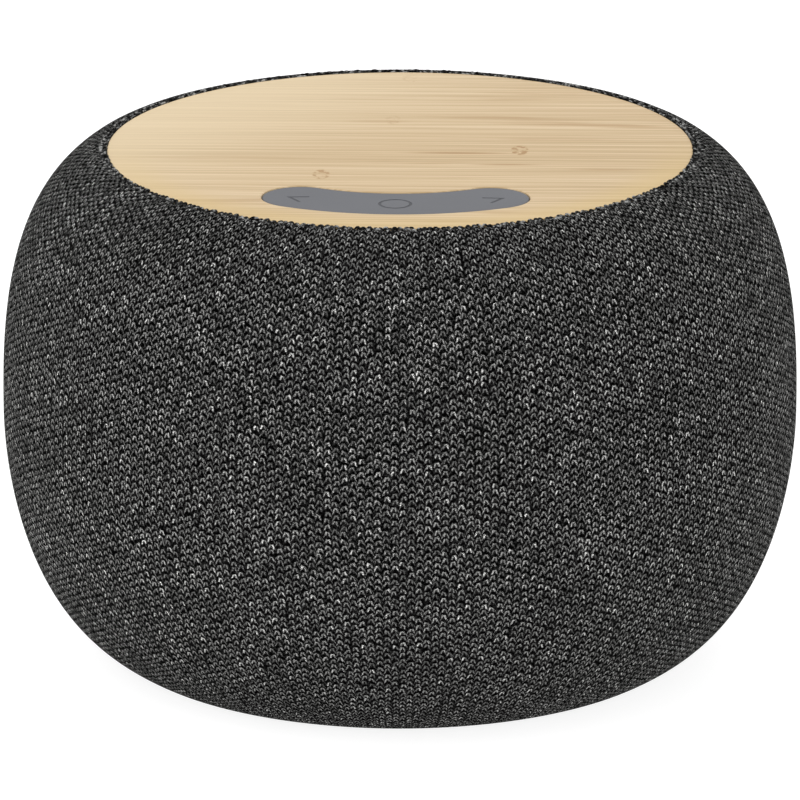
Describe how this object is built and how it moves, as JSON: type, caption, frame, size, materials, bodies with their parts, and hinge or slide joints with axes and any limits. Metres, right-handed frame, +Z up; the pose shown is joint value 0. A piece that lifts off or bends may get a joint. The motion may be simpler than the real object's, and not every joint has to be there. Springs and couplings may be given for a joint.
{
  "type": "smart home hub",
  "caption": "Round fabric-wrapped tabletop smart speaker hub with a flat bamboo top, a curved rubber keypad, an upward-firing driver and a rear USB-C inlet.",
  "frame": {"origin": "centre of the rubber foot ring, on the surface the hub stands on", "axes": "+Z up along the axis of the round body; the keypad is at the front, -Y; the inlet is at the back, +Y; +X is to the right seen from the front"},
  "size_m": [0.125, 0.125, 0.0804],
  "materials": {
    "knit_fabric": "heathered knit, charcoal and black with off-white flecks",
    "bamboo": "laminated bamboo, satin",
    "grey_rubber": "matte moulded silicone",
    "black_rubber": "matte",
    "black_plastic": "fine moulded texture",
    "white_plastic": "natural moulded plastic",
    "circuit_board": "green solder mask",
    "copper": "enamelled copper wire",
    "ferrite": "sintered ferrite",
    "plated_steel": "zinc plated",
    "paper_cone": "pressed black paper",
    "spider_cloth": "resin-dipped cloth",
    "pouch_foil": "laminated foil pouch"
  },
  "bodies": {
    "root": {"fabric_sleeve": "knit_fabric", "bamboo_top": "bamboo", "keypad_web": "grey_rubber", "foot_ring": "black_rubber", "driver_gasket": "black_rubber", "driver_surround": "black_rubber", "keypad_lead": "black_rubber", "charging_lead": "black_rubber", "speaker_lead": "black_rubber", "battery_lead": "black_rubber", "port_lead": "black_rubber", "upper_shell": "black_plastic", "lower_shell": "black_plastic", "speaker_chamber": "black_plastic", "driver_basket": "black_plastic", "acoustic_deflector": "black_plastic", "base_plate": "black_plastic", "port_plate": "black_plastic", "usb_c_tongue": "black_plastic", "switch_previous": "black_plastic", "switch_play": "black_plastic", "switch_next": "black_plastic", "top_carrier": "white_plastic", "battery_tray": "white_plastic", "keypad_board": "circuit_board", "port_board": "circuit_board", "main_board": "circuit_board", "charging_coil": "copper", "ferrite_shield": "ferrite", "driver_magnet": "ferrite", "driver_top_plate": "plated_steel", "driver_yoke": "plated_steel", "usb_c_shell": "plated_steel", "rf_shield_can": "plated_steel", "carrier_screw_1": "plated_steel", "carrier_screw_2": "plated_steel", "carrier_screw_3": "plated_steel", "carrier_screw_4": "plated_steel", "shell_screw_1": "plated_steel", "shell_screw_2": "plated_steel", "shell_screw_3": "plated_steel", "driver_screw_1": "plated_steel", "driver_screw_2": "plated_steel", "driver_screw_3": "plated_steel", "driver_screw_4": "plated_steel", "base_screw_1": "plated_steel", "base_screw_2": "plated_steel", "base_screw_3": "plated_steel", "base_screw_4": "plated_steel", "driver_spider": "spider_cloth", "battery_cell": "pouch_foil"},
    "key_previous": {"key_previous": "grey_rubber", "switch_plunger_previous": "white_plastic"},
    "key_play": {"key_play": "grey_rubber", "switch_plunger_play": "white_plastic"},
    "key_next": {"key_next": "grey_rubber", "switch_plunger_next": "white_plastic"},
    "driver_cone": {"driver_cone": "paper_cone", "driver_dust_cap": "paper_cone", "driver_voice_coil": "copper"}
  },
  "joints": [
    {"name": "key_previous_press", "type": "slide", "parent": "root", "child": "key_previous", "axis": [0, 0, -1], "range_m": [0, 0.0004], "stiffness_N_per_m": 150, "springref_m": -0.002},
    {"name": "key_play_press", "type": "slide", "parent": "root", "child": "key_play", "axis": [0, 0, -1], "range_m": [0, 0.0004], "stiffness_N_per_m": 150, "springref_m": -0.002},
    {"name": "key_next_press", "type": "slide", "parent": "root", "child": "key_next", "axis": [0, 0, -1], "range_m": [0, 0.0004], "stiffness_N_per_m": 150, "springref_m": -0.002},
    {"name": "driver_cone_travel", "type": "slide", "parent": "root", "child": "driver_cone", "axis": [0, 0, 1], "range_m": [-0.0025, 0.0025], "stiffness_N_per_m": 500, "deforming": ["driver_surround", "driver_spider"]}
  ]
}
